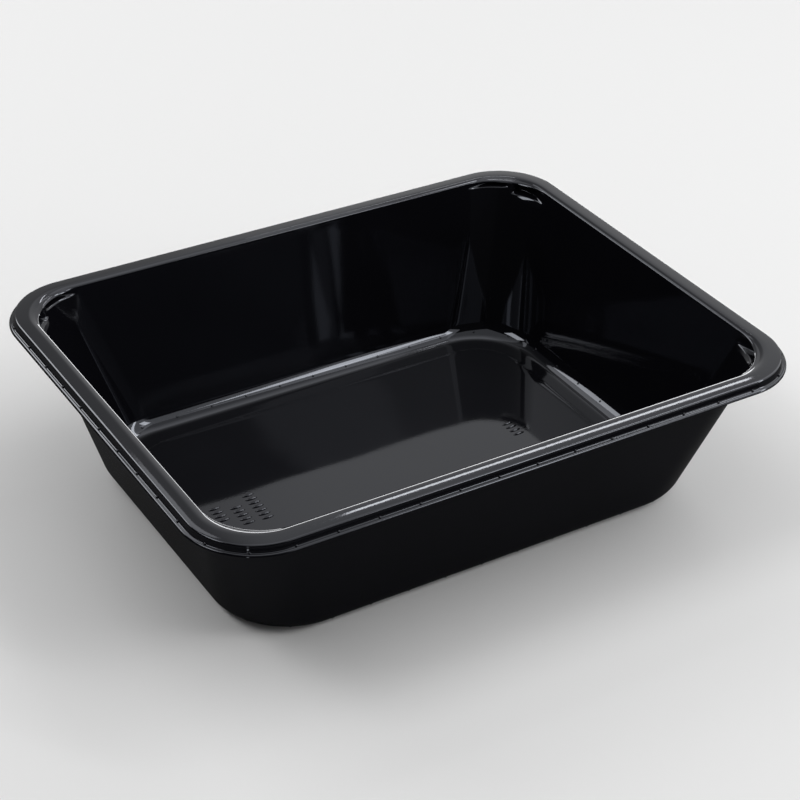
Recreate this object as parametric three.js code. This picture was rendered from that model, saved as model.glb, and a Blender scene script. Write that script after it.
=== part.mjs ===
// Meal tray drawn from one sheet: tapered tub, sealing flange, skirt and trim lip.
// Millimetres, length along x, width along y, base resting on z = 0.
import * as THREE from "three";

// Overall sizes.
const TRAY_LENGTH = 227;
const TRAY_WIDTH = 181.5;
const TRAY_DEPTH = 58.5;
const SHEET = 0.7;

// Rim section, measured outwards from the flange's outer bend and down from its land.
const LIP_REACH = 2;
const LIP_DROP = 3.15;
const SKIRT_FOOT_REACH = 0.45;
const SKIRT_FOOT_DROP = 2.5;
const SKIRT_FOOT_RADIUS = 0.45;
const BEND_RADIUS = 0.75;
const CROWN_DROP = 0.14;
const LAND_START = 1.9;
const LAND_END = 4.1;
const FLANGE_WIDTH = 5.4;
const EDGE_RADIUS = 1.6;

// Corner radii in plan, and the slope of the walls.
const LIP_CORNER = 26;
const BEND_CORNER = 23.4;
const EDGE_CORNER = 19;
const WALL_TOP_CORNER = 22.4;
const FLOOR_CORNER = 27.2;
const END_WALL_DRAFT = 14.2;
const SIDE_WALL_DRAFT = 15.6;

// Base: fillet, foot ring and raised floor panel.
const BASE_FILLET = 6.8;
const FOOT_RING_WIDTH = 5;
const PANEL_RISE = 0.7;
const PANEL_STEP = 1.4;

// Nesting lugs: two pockets in each corner, one on each side of its middle.
const LUG_REACH = 0.5;
const SIDE_LUG = { from: 45, to: 88, ledge: 3.1 };
const END_LUG = { from: 1, to: 44, ledge: 5.2 };
const LEDGE_HEIGHT = 0.45;
const LUG_BLEND = 10;

// Facets.
const CORNER_STEPS = 18;
const FILLET_STEPS = 7;
const EDGE_STEPS = 5;
const BEND_STEPS = 4;

const radians = THREE.MathUtils.degToRad;
const mix = THREE.MathUtils.lerp;

// Points of an arc in the section, from one angle to another, in degrees.
function arc(centre, radius, from, to, steps) {
  return Array.from({ length: steps + 1 }, (_, i) => {
    const t = radians(mix(from, to, i / steps));
    return [centre[0] + radius * Math.cos(t), centre[1] + radius * Math.sin(t)];
  });
}

// Upper skin from the lip's edge to the top of the wall, as [reach, height] pairs.
function rimSection() {
  const lipSlope = Math.atan2(LIP_DROP - SKIRT_FOOT_DROP, LIP_REACH - SKIRT_FOOT_REACH);
  const foot = [SKIRT_FOOT_REACH + SKIRT_FOOT_RADIUS, -SKIRT_FOOT_DROP + SKIRT_FOOT_RADIUS];
  const footEnd = 270 - THREE.MathUtils.radToDeg(lipSlope);
  const bend = [-BEND_RADIUS, -CROWN_DROP - BEND_RADIUS];
  const edge = [-FLANGE_WIDTH, -CROWN_DROP - EDGE_RADIUS];
  return [
    [LIP_REACH, -LIP_DROP],
    ...arc(foot, SKIRT_FOOT_RADIUS, footEnd, 184, 3),
    ...arc(bend, BEND_RADIUS, 3, 86, BEND_STEPS),
    [-LAND_START, 0],
    [-LAND_END, 0],
    ...arc(edge, EDGE_RADIUS, 94, 180 - END_WALL_DRAFT, EDGE_STEPS),
  ];
}

// Corner radius on the rim at a given reach from the bend line.
function rimCorner(reach) {
  const wallTop = -FLANGE_WIDTH - EDGE_RADIUS * Math.cos(radians(END_WALL_DRAFT));
  if (reach > 0) return mix(BEND_CORNER, LIP_CORNER, reach / LIP_REACH);
  if (reach > -FLANGE_WIDTH) return mix(BEND_CORNER, EDGE_CORNER, reach / -FLANGE_WIDTH);
  return mix(EDGE_CORNER, WALL_TOP_CORNER, (reach + FLANGE_WIDTH) / (wallTop + FLANGE_WIDTH));
}

// Upper skin as stations: reach, height, extra inset of the long sides, corner radius.
function upperStations() {
  const rim = rimSection().map(([reach, z]) => ({ reach, z, extra: 0, corner: rimCorner(reach) }));
  const top = rim[rim.length - 1];
  const floor = -TRAY_DEPTH + SHEET;
  const endSlope = Math.tan(radians(END_WALL_DRAFT));
  const sideSlope = Math.tan(radians(SIDE_WALL_DRAFT));
  const onWall = (z) => {
    const fall = top.z - z;
    return {
      reach: top.reach - fall * endSlope,
      z,
      extra: fall * (sideSlope - endSlope),
      corner: mix(WALL_TOP_CORNER, FLOOR_CORNER, fall / (top.z - floor)),
    };
  };
  const ledges = [SIDE_LUG, END_LUG].flatMap((lug) => [LEDGE_HEIGHT - lug.ledge, -lug.ledge]);
  const walls = [...ledges, -TRAY_DEPTH / 2].map(onWall);
  const turn = radians((90 - END_WALL_DRAFT) / 2);
  const tangent = BASE_FILLET * Math.tan(turn);
  const centre = [onWall(floor).reach - tangent, floor + BASE_FILLET];
  const fillet = arc(centre, BASE_FILLET, -END_WALL_DRAFT, -90, FILLET_STEPS).map(([reach, z]) => {
    const wall = onWall(z);
    return { ...wall, reach, corner: wall.corner - (wall.reach - reach) };
  });
  const last = fillet[fillet.length - 1];
  const inward = (step, z) => ({ ...last, z, reach: last.reach - step, corner: last.corner - step });
  const panel = [
    inward(FOOT_RING_WIDTH, floor),
    inward(FOOT_RING_WIDTH + PANEL_STEP * 0.3, floor + PANEL_RISE * 0.2),
    inward(FOOT_RING_WIDTH + PANEL_STEP * 0.7, floor + PANEL_RISE * 0.8),
    inward(FOOT_RING_WIDTH + PANEL_STEP, floor + PANEL_RISE),
  ];
  return [...rim, ...walls, ...fillet, ...panel];
}

// Lower skin: every station moved out of the tub by the sheet's thickness, mitred at each bend.
function lowerStations(upper) {
  const steps = upper.slice(1).map((next, i) => {
    return new THREE.Vector2(next.reach - upper[i].reach, next.z - upper[i].z).normalize();
  });
  return upper.map((station, i) => {
    const before = steps[Math.max(i - 1, 0)];
    const after = steps[Math.min(i, steps.length - 1)];
    const along = before.clone().add(after).normalize();
    const shift = SHEET / Math.max(along.dot(after), 0.7);
    return {
      ...station,
      reach: station.reach - along.y * shift,
      z: station.z + along.x * shift,
      corner: station.corner - along.y * shift,
    };
  });
}

// One ring of points round the tray: four arcs joined by the straight sides.
function ring({ reach, z, extra, corner }) {
  const halfLength = TRAY_LENGTH / 2 - LIP_REACH + reach;
  const halfWidth = TRAY_WIDTH / 2 - LIP_REACH + reach - extra;
  return quadrants().flatMap(({ sx, sy, angles }) =>
    angles.map((angle) => {
      const t = radians(angle);
      const x = halfLength - corner + corner * Math.cos(t);
      const y = halfWidth - corner + corner * Math.sin(t);
      return { point: new THREE.Vector3(sx * x, sy * y, z + TRAY_DEPTH), angle };
    }),
  );
}

// The corners in turn, each with its signs and its angles from the end wall to the side wall.
function quadrants() {
  const rising = Array.from({ length: CORNER_STEPS + 1 }, (_, i) => (90 * i) / CORNER_STEPS);
  const falling = [...rising].reverse();
  return [
    { sx: 1, sy: 1, angles: rising },
    { sx: -1, sy: 1, angles: falling },
    { sx: -1, sy: -1, angles: rising },
    { sx: 1, sy: -1, angles: falling },
  ];
}

// Share of a lug's reach at an angle of the corner and a height of the wall.
function lugShare(lug, angle, z) {
  const along = Math.min(angle - lug.from, lug.to - angle) / LUG_BLEND;
  const up = (z + lug.ledge) / LEDGE_HEIGHT;
  return THREE.MathUtils.clamp(along, 0, 1) * THREE.MathUtils.clamp(up, 0, 1);
}

// Rings of a skin, with the lugs pushed out of the wall below the flange's inner edge.
function skin(stations, wallTop, pocket) {
  return stations.map((station) => {
    const plain = ring(station);
    const onWall = station.reach <= wallTop.reach + 0.02 && station.z <= wallTop.z + 0.02;
    if (!onWall) return plain.map(({ point }) => point);
    const pushed = ring({ ...pocket, z: station.z });
    return plain.map(({ point, angle }, i) => {
      const share = [SIDE_LUG, END_LUG].reduce((most, lug) => {
        return Math.max(most, lugShare(lug, angle, station.level));
      }, 0);
      return point.clone().lerp(pushed[i].point, share);
    });
  });
}

// Both skins joined at the lip's edge, closed at the floor by a fan on each side.
function closedShell(upper, lower) {
  const rows = [...upper].reverse().concat(lower);
  const count = rows[0].length;
  const points = rows.flat();
  const faces = [];
  for (let r = 0; r + 1 < rows.length; r++) {
    for (let i = 0; i < count; i++) {
      const j = (i + 1) % count;
      const [a, b, c, d] = [r * count + i, r * count + j, (r + 1) * count + j, (r + 1) * count + i];
      faces.push(a, d, b, b, d, c);
    }
  }
  const top = points.length;
  points.push(new THREE.Vector3(0, 0, rows[0][0].z));
  points.push(new THREE.Vector3(0, 0, rows[rows.length - 1][0].z));
  const lastRow = (rows.length - 1) * count;
  for (let i = 0; i < count; i++) {
    const j = (i + 1) % count;
    faces.push(top, i, j);
    faces.push(top + 1, lastRow + j, lastRow + i);
  }
  const geometry = new THREE.BufferGeometry().setFromPoints(points);
  geometry.setIndex(faces);
  geometry.computeVertexNormals();
  return geometry;
}

function trayGeometry() {
  const upper = upperStations().map((station) => ({ ...station, level: station.z }));
  const lower = lowerStations(upper);
  const topIndex = rimSection().length - 1;
  const pocketFor = (wallTop) => ({
    reach: wallTop.reach + LUG_REACH,
    extra: 0,
    corner: EDGE_CORNER - EDGE_RADIUS + LUG_REACH,
  });
  return closedShell(
    skin(upper, upper[topIndex], pocketFor(upper[topIndex])),
    skin(lower, lower[topIndex], pocketFor(lower[topIndex])),
  );
}

const tray = new THREE.Mesh(
  trayGeometry(),
  new THREE.MeshStandardMaterial({ color: 0x08080a, roughness: 0.2, side: THREE.FrontSide }),
);
tray.name = "meal_tray";

const part = new THREE.Group();
part.add(tray);

export default part;
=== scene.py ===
import math

import bmesh
import bpy
from mathutils import Matrix, Quaternion, Vector

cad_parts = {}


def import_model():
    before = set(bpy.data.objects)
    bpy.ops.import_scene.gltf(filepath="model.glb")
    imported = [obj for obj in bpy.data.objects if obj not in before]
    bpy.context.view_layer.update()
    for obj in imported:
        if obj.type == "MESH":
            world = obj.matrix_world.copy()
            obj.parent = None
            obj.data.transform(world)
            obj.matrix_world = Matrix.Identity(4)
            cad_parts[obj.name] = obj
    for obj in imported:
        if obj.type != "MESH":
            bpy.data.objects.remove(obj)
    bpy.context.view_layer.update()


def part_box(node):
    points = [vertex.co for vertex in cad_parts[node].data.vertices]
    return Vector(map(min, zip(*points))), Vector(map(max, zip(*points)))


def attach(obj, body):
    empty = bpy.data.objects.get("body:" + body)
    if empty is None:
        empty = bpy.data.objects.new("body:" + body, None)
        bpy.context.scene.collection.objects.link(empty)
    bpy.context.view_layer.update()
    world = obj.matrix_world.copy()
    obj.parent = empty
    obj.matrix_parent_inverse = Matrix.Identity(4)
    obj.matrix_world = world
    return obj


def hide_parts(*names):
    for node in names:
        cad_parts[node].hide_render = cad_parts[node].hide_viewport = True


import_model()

# Overall sizes in metres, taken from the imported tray.
LOW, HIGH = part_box("meal_tray")
TRAY_LENGTH = HIGH[0] - LOW[0]
TRAY_WIDTH = HIGH[1] - LOW[1]
TRAY_DEPTH = HIGH[2] - LOW[2]
SHEET = 0.0007
FLOOR_LEVEL = -TRAY_DEPTH + SHEET

# Rim section: reaches outwards from the flange's outer bend, and heights or drops from its
# highest line. Slopes, ends of arcs and headings are in degrees.
LIP_REACH = 0.002
LIP_SLOPE = 8
LIP_CURL_RADIUS = 0.0008
SKIRT_FOOT_REACH = 0.00045
SKIRT_FOOT_DROP = 0.00272
SKIRT_FOOT_RADIUS = 0.00045
SKIRT_FOOT_END = 184
BEND_RADIUS = 0.0007
BEND_HEADING = 93
WALL_TOP_REACH = -0.00695
WALL_TOP_HEIGHT = -0.00136
CURVE_PULL = 0.42

# Crown of the flange: its tilt in degrees at places along its width, outwards positive.
CROWN = (
    (-0.0066, -31),
    (-0.0064, -26),
    (-0.0061, -22),
    (-0.0055, -16.5),
    (-0.0051, -9),
    (-0.0045, -1.5),
    (-0.0036, 3.5),
    (-0.002, 5.5),
    (-0.0007, 8),
)

# Corner radii in plan, and the slope of the walls in degrees.
LIP_CORNER = 0.026
BEND_CORNER = 0.0234
EDGE_CORNER = 0.019
WALL_TOP_CORNER = 0.0224
FLOOR_CORNER = 0.0272
END_WALL_DRAFT = 14.2
SIDE_WALL_DRAFT = 15.6

# Base: fillet, foot ring and raised floor panel with a flat margin inside its step.
BASE_FILLET = 0.0068
FOOT_RING_WIDTH = 0.005
PANEL_RISE = 0.0007
PANEL_STEP = 0.0014
PANEL_MARGIN = 0.002

# Nesting lugs: reach beyond the wall and corner radius in plan. Each lug then has its first and
# last angle in the corner and its ledge's depth. The ledge's height and the lug's ends are eased.
LUG_REACH = 0.0005
LUG_CORNER = 0.0179
SIDE_LUG = (45, 88, 0.0031)
END_LUG = (1, 44, 0.0052)
LUGS = (SIDE_LUG, END_LUG)
LEDGE_HEIGHT = 0.0008
LUG_BLEND = 12

# Facets of each stretch of the section, and of each corner and straight side in plan.
LIP_STEPS = 10
FLAT_STEPS = 4
SKIRT_FOOT_STEPS = 8
BEND_STEPS = 12
CROWN_STEPS = 40
EDGE_STEPS = 14
LEDGE_STEPS = 5
WALL_STEPS = 16
FILLET_STEPS = 20
PANEL_STEPS = 8
CORNER_STEPS = 48
SIDE_STEPS = 20
MITRE_LIMIT = 0.7
STATION_MARGIN = 0.00002

# Vent pips in the base fillet and at the skirt's foot: pitch, radius and place in the section.
# The sink is the share of its radius that a fillet pip's centre lies in the sheet.
PIP_PITCH = 0.0145
PIP_RADIUS = 0.0006
PIP_ANGLE = 48
PIP_SINK = 0.55
RIM_PIP_RADIUS = 0.0005
RIM_PIP_PLACE = (0.00062, -0.00262)
RIM_PIP_PHASE = 0.2

# Plain bars moulded in the floor, in rows: x of the row, first y, count of bars.
BAR_ROWS = ((-0.0535, 0.009, 7), (-0.0605, 0.0045, 5), (-0.0675, 0.0075, 4), (0.0515, 0.002, 4))
BAR_PITCH = 0.0025
BAR_SIZE = (0.0048, 0.0011, 0.0005)

# Black plastic: its two tones, its gloss, and noise as scale and detail. The wave and the grain
# are bumps, as noise, strength and distance.
PLASTIC_IOR = 1.57
GLOSS_TINT = (0.86, 0.9, 1.0)
DARK_TONE = (0.0026, 0.0026, 0.0036)
LIGHT_TONE = (0.0040, 0.0040, 0.0054)
TONE_NOISE = (40, 2)
ROUGHNESS = (0.03, 0.07)
ROUGHNESS_NOISE = (90, 4)
WAVE = ((22, 1), 0.25, 0.0006)
GRAIN = ((1500, 2), 0.03, 0.0001)

# Camera fitted to the photograph: the point it looks at on the flange's plane, and its angles.
CAMERA_TARGET = (-0.0213, -0.0396)
CAMERA_AZIMUTH = -31.61
CAMERA_ELEVATION = 32.87
CAMERA_ROLL = 1.12
CAMERA_DISTANCE = 0.6737
CAMERA_FOCAL_PIXELS = 2058.7
CAMERA_CLIP = 0.01
IMAGE_PIXELS = 800
SENSOR_MM = 36

# Studio: lamps as name, azimuth, elevation, size in metres, turn in degrees and level.
LAMP_DISTANCE = 1.3
SOFTBOXES = (
    ("right_softbox", -22, 36, (2.0, 1.3), 0, 1.1),
    ("right_bar", -25, 41, (1.75, 0.1), 45, 8.0),
    ("front_spot", -53, 41, (0.2, 0.4), 0, 7.0),
    ("upper_spot", -46, 49, (0.22, 0.16), 0, 2.5),
    ("top_softbox", 0, 88, (1.3, 1.3), 0, 0.6),
    ("left_softbox", 160, 53, (0.55, 0.36), 0, 5.2),
    ("back_softbox", 111, 36.5, (0.85, 0.33), 0, 4.6),
    ("back_glow", 106, 50, (0.85, 0.26), 0, 1.3),
    ("back_strip", 45.5, 44.3, (0.41, 0.04), 30, 9.0),
    ("horizon_strip", 57, 5.5, (1.2, 0.2), 0, 5.0),
    ("corner_strip", -130, 7, (0.05, 0.36), 0, 3.0),
)

# World. Rays are compared with a direction, and the level is eased over a range of that match:
# the gloss sees the backdrop rise towards its centre and drop again on its left side.
BACKDROP_DIRECTION = (0.43, 0.745, 0.51)
BACKDROP_EDGE = (0.45, 0.8)
BACKDROP_LEVELS = (0.02, 0.8)
BACKDROP_SIDE = (-0.866, 0.5, 0.0)
BACKDROP_SIDE_EDGE = (0.0, 0.16)
BACKDROP_SIDE_SHARES = (1.0, 0.5)
FILL_LEVEL = 0.14

# Floor, a hair below the tray: half its side, and its tone to the camera and to the gloss.
FLOOR_SIDE = 0.85
FLOOR_GAP = 0.0002
FLOOR_TONE = 0.785
FLOOR_GLOSS_TONE = 0.08
FLOOR_ROUGHNESS = 0.9


def mix(a, b, share):
    """The value a share of the way from a to b."""
    return a + (b - a) * share


def smooth(value):
    """An eased step from 0 to 1."""
    share = min(max(value, 0.0), 1.0)
    return share * share * (3 - 2 * share)


def arc(centre, radius, start, end, steps):
    """Points of an arc in the section, from one angle to another in degrees."""
    angles = [math.radians(mix(start, end, i / steps)) for i in range(steps + 1)]
    return [(centre[0] + radius * math.cos(t), centre[1] + radius * math.sin(t)) for t in angles]


def between(a, b, steps):
    """Points spaced evenly between two points of the section, both ends left out."""
    return [tuple(mix(p, q, i / steps) for p, q in zip(a, b)) for i in range(1, steps)]


def rounded(start, heading_in, end, heading_out, steps):
    """A smooth curve between two points of the section, with a heading in degrees at each."""
    reach = math.dist(start, end) * CURVE_PULL
    a, b = math.radians(heading_in), math.radians(heading_out)
    p1 = (start[0] + reach * math.cos(a), start[1] + reach * math.sin(a))
    p2 = (end[0] - reach * math.cos(b), end[1] - reach * math.sin(b))
    points = []
    for i in range(1, steps):
        t = i / steps
        weights = ((1 - t) ** 3, 3 * t * (1 - t) ** 2, 3 * t * t * (1 - t), t**3)
        points.append(
            tuple(sum(w * p[k] for w, p in zip(weights, (start, p1, p2, end))) for k in range(2))
        )
    return points


def crown():
    """Points of the flange from its outer side inwards, its highest point at height 0."""
    places = [reach for reach, _ in CROWN]
    tilts = [tilt for _, tilt in CROWN]
    points, height = [], 0.0
    for k in range(CROWN_STEPS + 1):
        reach = mix(places[0], places[-1], k / CROWN_STEPS)
        i = max(j for j in range(len(places) - 1) if places[j] <= reach or j == 0)
        share = (reach - places[i]) / (places[i + 1] - places[i])
        if points:
            tilt = math.radians(mix(tilts[i], tilts[i + 1], share))
            height -= math.tan(tilt) * (reach - points[-1][0])
        points.append((reach, height))
    top = max(height for _, height in points)
    return [(reach, height - top) for reach, height in reversed(points)]


def lip_curl(foot_top):
    """Points of the lip's curled edge, its flat tangent to the skirt's foot."""
    slope = math.radians(LIP_SLOPE)
    reach = LIP_REACH - LIP_CURL_RADIUS
    fall = (reach + LIP_CURL_RADIUS * math.sin(slope) - foot_top[0]) * math.tan(slope)
    height = foot_top[1] - fall - LIP_CURL_RADIUS * math.cos(slope)
    return arc((reach, height), LIP_CURL_RADIUS, 0, 90 - LIP_SLOPE, LIP_STEPS)


def rim_section():
    """Upper skin from the lip's edge to the top of the wall, as (reach, height) pairs."""
    foot = (SKIRT_FOOT_REACH + SKIRT_FOOT_RADIUS, -SKIRT_FOOT_DROP + SKIRT_FOOT_RADIUS)
    foot_arc = arc(foot, SKIRT_FOOT_RADIUS, 270 - LIP_SLOPE, SKIRT_FOOT_END, SKIRT_FOOT_STEPS)
    lip = lip_curl(foot_arc[0])
    flange = crown()
    bend = (0.0, flange[0][1] - BEND_RADIUS)
    wall_top = (WALL_TOP_REACH, WALL_TOP_HEIGHT)
    return (
        lip
        + between(lip[-1], foot_arc[0], FLAT_STEPS)
        + foot_arc
        + between(foot_arc[-1], bend, FLAT_STEPS)
        + [bend]
        + rounded(bend, BEND_HEADING, flange[0], 180 - CROWN[-1][1], BEND_STEPS)
        + flange
        + rounded(flange[-1], 180 - CROWN[0][1], wall_top, 270 - END_WALL_DRAFT, EDGE_STEPS)
        + [wall_top]
    )


def rim_station(reach, height):
    """Station of the rim: reach, height, side inset, corner radius."""
    inner = CROWN[0][0]
    if reach > 0:
        corner = mix(BEND_CORNER, LIP_CORNER, reach / LIP_REACH)
    elif reach > inner:
        corner = mix(BEND_CORNER, EDGE_CORNER, reach / inner)
    else:
        share = (reach - inner) / (WALL_TOP_REACH - inner)
        corner = mix(EDGE_CORNER, WALL_TOP_CORNER, share)
    return (reach, height, 0.0, corner)


def wall_station(top, height):
    """Station of the tapered wall below its top station."""
    fall = top[1] - height
    end_slope = math.tan(math.radians(END_WALL_DRAFT))
    side_slope = math.tan(math.radians(SIDE_WALL_DRAFT))
    corner = mix(WALL_TOP_CORNER, FLOOR_CORNER, fall / (top[1] - FLOOR_LEVEL))
    return (top[0] - fall * end_slope, height, fall * (side_slope - end_slope), corner)


def wall_heights(top):
    """Heights of the wall's stations, close together at the lugs' ledges."""
    side, end = (
        [-ledge + LEDGE_HEIGHT * i / LEDGE_STEPS for i in range(LEDGE_STEPS, -1, -1)]
        for _, _, ledge in LUGS
    )
    upper = [mix(top, side[0], i / FLAT_STEPS) for i in range(1, FLAT_STEPS)]
    middle = [mix(side[-1], end[0], i / FLAT_STEPS) for i in range(1, FLAT_STEPS)]
    lowest = -TRAY_DEPTH + 2 * BASE_FILLET
    lower = [mix(end[-1], lowest, i / WALL_STEPS) for i in range(1, WALL_STEPS + 1)]
    return upper + side + middle + end + lower


def base_fillet(top):
    """Centre of the base fillet in the section."""
    tangent = BASE_FILLET * math.tan(math.radians((90 - END_WALL_DRAFT) / 2))
    return (wall_station(top, FLOOR_LEVEL)[0] - tangent, FLOOR_LEVEL + BASE_FILLET)


def fillet_station(top, point):
    """Station of the base fillet, with the corner radius that its inset leaves."""
    wall = wall_station(top, point[1])
    return (point[0], point[1], wall[2], wall[3] - (wall[0] - point[0]))


def panel_stations(last):
    """Foot ring, the step up to the floor panel, and the panel's flat."""
    steps = [(FOOT_RING_WIDTH * i / FLAT_STEPS, 0.0) for i in range(1, FLAT_STEPS + 1)]
    for i in range(1, PANEL_STEPS + 1):
        inset = FOOT_RING_WIDTH + PANEL_STEP * i / PANEL_STEPS
        steps.append((inset, PANEL_RISE * smooth(i / PANEL_STEPS)))
    steps.append((FOOT_RING_WIDTH + PANEL_STEP + PANEL_MARGIN, PANEL_RISE))
    return [(last[0] - s, last[1] + rise, last[2], last[3] - s) for s, rise in steps]


def upper_stations():
    """Stations of the upper skin from the lip to the floor panel, and the wall top's index."""
    rim = [rim_station(reach, height) for reach, height in rim_section()]
    top = rim[-1]
    walls = [wall_station(top, height) for height in wall_heights(top[1])]
    points = arc(base_fillet(top), BASE_FILLET, -END_WALL_DRAFT, -90, FILLET_STEPS)
    fillet = [fillet_station(top, point) for point in points]
    return rim + walls + fillet + panel_stations(fillet[-1]), len(rim) - 1


def lower_stations(upper):
    """Every station moved by the sheet's thickness away from the upper skin."""
    steps = [Vector((b[0] - a[0], b[1] - a[1])).normalized() for a, b in zip(upper, upper[1:])]
    lower = []
    for i, (reach, height, inset, corner) in enumerate(upper):
        after = steps[min(i, len(steps) - 1)]
        along = (steps[max(i - 1, 0)] + after).normalized()
        shift = SHEET / max(along.dot(after), MITRE_LIMIT)
        out, down = -along.y * shift, along.x * shift
        lower.append((reach + out, height + down, inset, corner + out))
    return lower


def corner_turns():
    """Signs and angles of the four corners in turn, each followed by its straight side."""
    rising = [90 * i / CORNER_STEPS for i in range(CORNER_STEPS + 1)]
    falling = rising[::-1]
    return [(1, 1, rising), (-1, 1, falling), (-1, -1, rising), (1, -1, falling)]


def ring(station):
    """Points round the tray at a station, each with its angle in its corner."""
    reach, height, inset, corner = station
    half_length = TRAY_LENGTH / 2 - LIP_REACH + reach
    half_width = TRAY_WIDTH / 2 - LIP_REACH + reach - inset
    corners = []
    for sx, sy, angles in corner_turns():
        row = []
        for angle in angles:
            t = math.radians(angle)
            x = half_length - corner + corner * math.cos(t)
            y = half_width - corner + corner * math.sin(t)
            row.append((Vector((sx * x, sy * y, height + TRAY_DEPTH)), angle))
        corners.append(row)
    points = []
    for row, following in zip(corners, corners[1:] + corners[:1]):
        points += row
        start, angle = row[-1]
        end = following[0][0]
        points += [(start.lerp(end, k / SIDE_STEPS), angle) for k in range(1, SIDE_STEPS)]
    return points


def lug_share(angle, level):
    """Share of the lugs' reach at an angle of the corner and a height of the wall."""
    shares = []
    for start, end, ledge in LUGS:
        along = smooth(min(angle - start, end - angle) / LUG_BLEND)
        shares.append(along * smooth((level + ledge) / LEDGE_HEIGHT))
    return max(shares)


def skin(stations, levels, wall_top):
    """Rings of a skin, with the lugs pushed out of the wall below the flange's inner edge."""
    top_reach, top_level = stations[wall_top][0], levels[wall_top]
    rows = []
    for station, level in zip(stations, levels):
        plain = ring(station)
        if level > top_level + STATION_MARGIN or station[0] > top_reach + STATION_MARGIN:
            rows.append([p for p, _ in plain])
            continue
        pushed = ring((top_reach + LUG_REACH, station[1], 0.0, LUG_CORNER))
        pairs = zip(plain, pushed)
        rows.append([p.lerp(q, lug_share(angle, level)) for (p, angle), (q, _) in pairs])
    return rows


def shown(name, data):
    """A new object in the scene."""
    made = bpy.data.objects.new(name, data)
    bpy.context.scene.collection.objects.link(made)
    return made


def mesh_object(name, points, faces):
    """An object made of points and of faces that index them."""
    mesh = bpy.data.meshes.new(name)
    mesh.from_pydata([tuple(p) for p in points], [], faces)
    mesh.validate()
    return shown(name, mesh)


def bmesh_object(name, work):
    """An object made of a bmesh, which is freed."""
    mesh = bpy.data.meshes.new(name)
    work.to_mesh(mesh)
    work.free()
    return shown(name, mesh)


def smoothed(made):
    """The object with its faces all turned outwards and shaded smooth."""
    work = bmesh.new()
    work.from_mesh(made.data)
    bmesh.ops.recalc_face_normals(work, faces=work.faces)
    work.to_mesh(made.data)
    work.free()
    for polygon in made.data.polygons:
        polygon.use_smooth = True
    return made


def tray_shell():
    """The whole tray: both skins joined at the lip's edge and closed across the floor panel."""
    upper, wall_top = upper_stations()
    levels = [station[1] for station in upper]
    rows = skin(upper, levels, wall_top)[::-1] + skin(lower_stations(upper), levels, wall_top)
    count = len(rows[0])
    faces = []
    for r in range(len(rows) - 1):
        this, after = r * count, (r + 1) * count
        for i in range(count):
            j = (i + 1) % count
            faces.append((this + i, this + j, after + j, after + i))
    last = (len(rows) - 1) * count
    faces.append(tuple(range(count))[::-1])
    faces.append(tuple(range(last, last + count)))
    return smoothed(mesh_object("tray_shell", [p for row in rows for p in row], faces))


def spaced(points, pitch, phase=0.0):
    """Places at about a pitch along a closed loop of points. The phase is a share of one step."""
    loop = points + [points[0]]
    lengths = [(b - a).length for a, b in zip(loop, loop[1:])]
    total = sum(lengths)
    count = round(total / pitch)
    places, walked, i = [], 0.0, 0
    for k in range(count):
        goal = total * (k + phase) / count
        while walked + lengths[i] < goal:
            walked += lengths[i]
            i += 1
        places.append(loop[i].lerp(loop[i + 1], (goal - walked) / lengths[i]))
    return places


def dome(work, centre, radii):
    """A small rounded bump added to a bmesh, its lower half buried in the sheet."""
    place = Matrix.Translation(centre) @ Matrix.Diagonal((*radii, 1))
    bmesh.ops.create_icosphere(work, subdivisions=2, radius=1, matrix=place)


def pip_row(work, station, radius, phase=0.0):
    """Pips of a radius, added to a bmesh along the ring of a station."""
    for place in spaced([p for p, _ in ring(station)], PIP_PITCH, phase):
        dome(work, place, (radius,) * 3)


def vent_pips():
    """Tiny domes in rows round the base fillet and the skirt's foot, left by the mould's vents."""
    stations, wall_top = upper_stations()
    top = stations[wall_top]
    centre = base_fillet(top)
    t = math.radians(-PIP_ANGLE)
    radius = BASE_FILLET + PIP_RADIUS * PIP_SINK
    point = (centre[0] + radius * math.cos(t), centre[1] + radius * math.sin(t))
    work = bmesh.new()
    pip_row(work, fillet_station(top, point), PIP_RADIUS)
    pip_row(work, rim_station(*RIM_PIP_PLACE), RIM_PIP_RADIUS, RIM_PIP_PHASE)
    return smoothed(bmesh_object("vent_pips", work))


def floor_bars():
    """Rows of plain raised bars on the floor panel."""
    work = bmesh.new()
    length, width, height = BAR_SIZE
    for x, first, count in BAR_ROWS:
        for k in range(count):
            centre = Vector((x, first - k * BAR_PITCH, SHEET + PANEL_RISE))
            dome(work, centre, (length / 2, width / 2, height))
    return smoothed(bmesh_object("floor_bars", work))


def new_material(name):
    """A material with its node tree and its shader."""
    material = bpy.data.materials.new(name)
    material.use_nodes = True
    tree = material.node_tree
    return material, tree, tree.nodes["Principled BSDF"]


def link(tree, source, target):
    """An output joined to an input."""
    tree.links.new(source, target)


def coordinates(tree, kind):
    """Texture coordinates of a kind."""
    return tree.nodes.new("ShaderNodeTexCoord").outputs[kind]


def noise(tree, scale, detail):
    """A noise texture in the object's own coordinates."""
    texture = tree.nodes.new("ShaderNodeTexNoise")
    texture.inputs["Scale"].default_value = scale
    texture.inputs["Detail"].default_value = detail
    link(tree, coordinates(tree, "Object"), texture.inputs["Vector"])
    return texture.outputs["Fac"]


def ranged(tree, value, levels, span=(0.0, 1.0), curve="LINEAR"):
    """The value mapped from a span to two levels."""
    node = tree.nodes.new("ShaderNodeMapRange")
    node.interpolation_type = curve
    for name, number in zip(("From Min", "From Max", "To Min", "To Max"), (*span, *levels)):
        node.inputs[name].default_value = number
    link(tree, value, node.inputs["Value"])
    return node.outputs["Result"]


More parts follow.
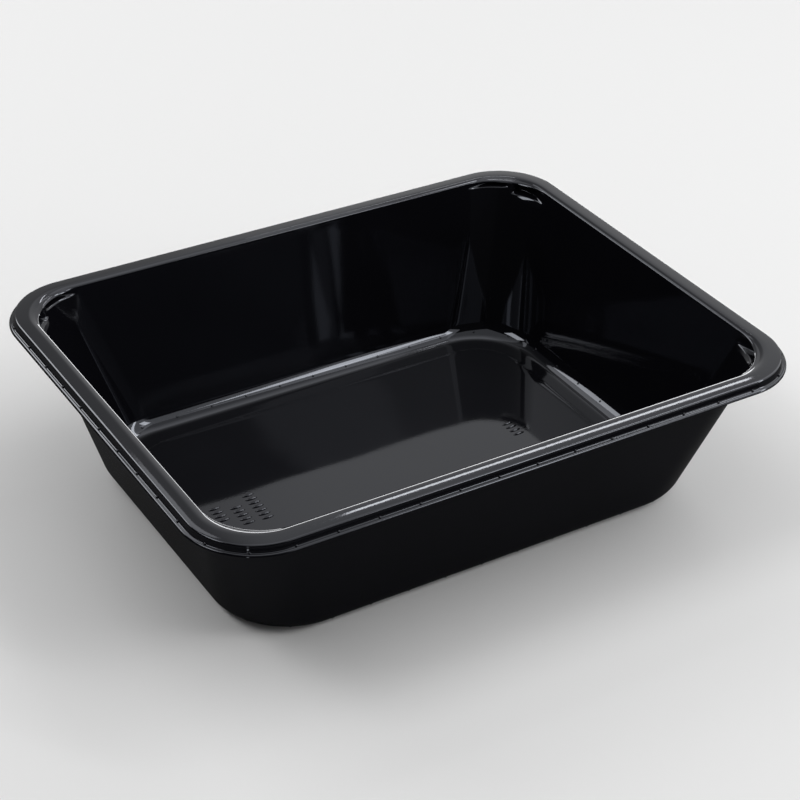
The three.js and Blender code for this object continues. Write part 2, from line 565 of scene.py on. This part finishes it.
def bump(tree, pattern, strength, distance):
    """A bump node driven by noise."""
    node = tree.nodes.new("ShaderNodeBump")
    node.inputs["Strength"].default_value = strength
    node.inputs["Distance"].default_value = distance
    link(tree, noise(tree, *pattern), node.inputs["Height"])
    return node


def tray_plastic():
    """Gloss black sheet with a soft waviness, a fine grain and a slightly uneven gloss."""
    material, tree, shader = new_material("tray_plastic")
    shader.inputs["IOR"].default_value = PLASTIC_IOR
    shader.inputs["Specular Tint"].default_value = (*GLOSS_TINT, 1)
    colour = tree.nodes.new("ShaderNodeMix")
    colour.data_type = "RGBA"
    colour.inputs["A"].default_value = (*DARK_TONE, 1)
    colour.inputs["B"].default_value = (*LIGHT_TONE, 1)
    link(tree, noise(tree, *TONE_NOISE), colour.inputs["Factor"])
    link(tree, colour.outputs["Result"], shader.inputs["Base Color"])
    roughness = ranged(tree, noise(tree, *ROUGHNESS_NOISE), ROUGHNESS)
    link(tree, roughness, shader.inputs["Roughness"])
    wave, grain = bump(tree, *WAVE), bump(tree, *GRAIN)
    link(tree, wave.outputs["Normal"], grain.inputs["Normal"])
    link(tree, grain.outputs["Normal"], shader.inputs["Normal"])
    return material


def is_ray(tree, kind):
    """1 where the ray that sees the material or the world is of this kind, and 0 elsewhere."""
    return tree.nodes.new("ShaderNodeLightPath").outputs[kind]


def blend(tree, share, low, high):
    """A number mixed between two others, each a constant or a socket."""
    node = tree.nodes.new("ShaderNodeMix")
    link(tree, share, node.inputs["Factor"])
    for name, value in (("A", low), ("B", high)):
        if isinstance(value, (int, float)):
            node.inputs[name].default_value = value
        else:
            link(tree, value, node.inputs[name])
    return node.outputs["Result"]


def times(tree, a, b):
    """The product of two sockets."""
    node = tree.nodes.new("ShaderNodeMath")
    node.operation = "MULTIPLY"
    link(tree, a, node.inputs[0])
    link(tree, b, node.inputs[1])
    return node.outputs["Value"]


def eased_toward(tree, direction, span, levels):
    """A level eased over a span of the match between the ray and a direction."""
    facing = tree.nodes.new("ShaderNodeVectorMath")
    facing.operation = "DOT_PRODUCT"
    facing.inputs[1].default_value = direction
    link(tree, coordinates(tree, "Generated"), facing.inputs[0])
    return ranged(tree, facing.outputs["Value"], levels, span, "SMOOTHSTEP")


def floor_material():
    """Pale floor. The gloss of the tray sees it dark, as it does in the photograph."""
    material, tree, shader = new_material("floor")
    shader.inputs["Roughness"].default_value = FLOOR_ROUGHNESS
    shader.inputs["Specular IOR Level"].default_value = 0.0
    tone = blend(tree, is_ray(tree, "Is Glossy Ray"), FLOOR_TONE, FLOOR_GLOSS_TONE)
    link(tree, tone, shader.inputs["Base Color"])
    return material


def floor():
    """The square of floor under the tray."""
    signs = ((-1, -1), (1, -1), (1, 1), (-1, 1))
    corners = [(x * FLOOR_SIDE, y * FLOOR_SIDE, 0) for x, y in signs]
    made = mesh_object("floor", corners, [(0, 1, 2, 3)])
    made.location.z = -FLOOR_GAP
    made.data.materials.append(floor_material())


def world():
    """White for the camera, a backdrop behind the tray for its gloss, and a plain soft fill."""
    made = bpy.data.worlds.new("world")
    bpy.context.scene.world = made
    made.use_nodes = True
    tree = made.node_tree
    background = tree.nodes["Background"]
    background.inputs["Color"].default_value = (1, 1, 1, 1)
    rise = eased_toward(tree, BACKDROP_DIRECTION, BACKDROP_EDGE, BACKDROP_LEVELS)
    drop = eased_toward(tree, BACKDROP_SIDE, BACKDROP_SIDE_EDGE, BACKDROP_SIDE_SHARES)
    unseen = blend(tree, is_ray(tree, "Is Glossy Ray"), FILL_LEVEL, times(tree, rise, drop))
    through = blend(tree, is_ray(tree, "Is Transmission Ray"), unseen, 1.0)
    strength = blend(tree, is_ray(tree, "Is Camera Ray"), through, 1.0)
    link(tree, strength, background.inputs["Strength"])


def toward(azimuth, elevation, distance):
    """A place seen from the tray at an azimuth and elevation in degrees."""
    a, e = math.radians(azimuth), math.radians(elevation)
    return Vector((math.cos(a) * math.cos(e), math.sin(a) * math.cos(e), math.sin(e))) * distance


def softbox(name, azimuth, elevation, size, turn, level):
    """A rectangular lamp facing the tray, of a given level over its whole face."""
    lamp = bpy.data.lights.new(name, "AREA")
    lamp.shape = "RECTANGLE"
    lamp.size, lamp.size_y = size
    lamp.energy = level * math.pi * size[0] * size[1]
    made = shown(name, lamp)
    made.location = toward(azimuth, elevation, LAMP_DISTANCE)
    facing = (-made.location).to_track_quat("-Z", "Y")
    made.rotation_euler = (facing @ Quaternion((0, 0, 1), math.radians(turn))).to_euler()


def camera():
    """The camera at the place from which the photograph was taken."""
    azimuth, elevation, roll = map(
        math.radians, (CAMERA_AZIMUTH, CAMERA_ELEVATION, CAMERA_ROLL)
    )
    back = Vector(
        (
            math.sin(azimuth) * math.cos(elevation),
            -math.cos(azimuth) * math.cos(elevation),
            math.sin(elevation),
        )
    )
    level = (-back).cross(Vector((0, 0, 1))).normalized()
    upright = level.cross(-back)
    right = math.cos(roll) * level + math.sin(roll) * upright
    up = -math.sin(roll) * level + math.cos(roll) * upright
    place = Vector((*CAMERA_TARGET, TRAY_DEPTH)) + back * CAMERA_DISTANCE
    made = shown("camera", bpy.data.cameras.new("camera"))
    made.matrix_world = Matrix(
        [[right[i], up[i], back[i], place[i]] for i in range(3)] + [[0, 0, 0, 1]]
    )
    made.data.sensor_width = SENSOR_MM
    made.data.lens = CAMERA_FOCAL_PIXELS / IMAGE_PIXELS * SENSOR_MM
    made.data.clip_start = CAMERA_CLIP
    bpy.context.scene.camera = made


def dress(piece, material):
    """The material put on a piece, which rides on the tray's body."""
    piece.data.materials.append(material)
    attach(piece, "root")


def dressed_tray():
    """Every piece of the tray, with its material and its place in the frame."""
    plastic = tray_plastic()
    shell = tray_shell()
    dress(shell, plastic)
    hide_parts("meal_tray")
    for detail in (vent_pips(), floor_bars()):
        dress(detail, plastic)


dressed_tray()
floor()
world()
for lamp in SOFTBOXES:
    softbox(*lamp)
camera()
bpy.context.scene.view_settings.view_transform = "Standard"
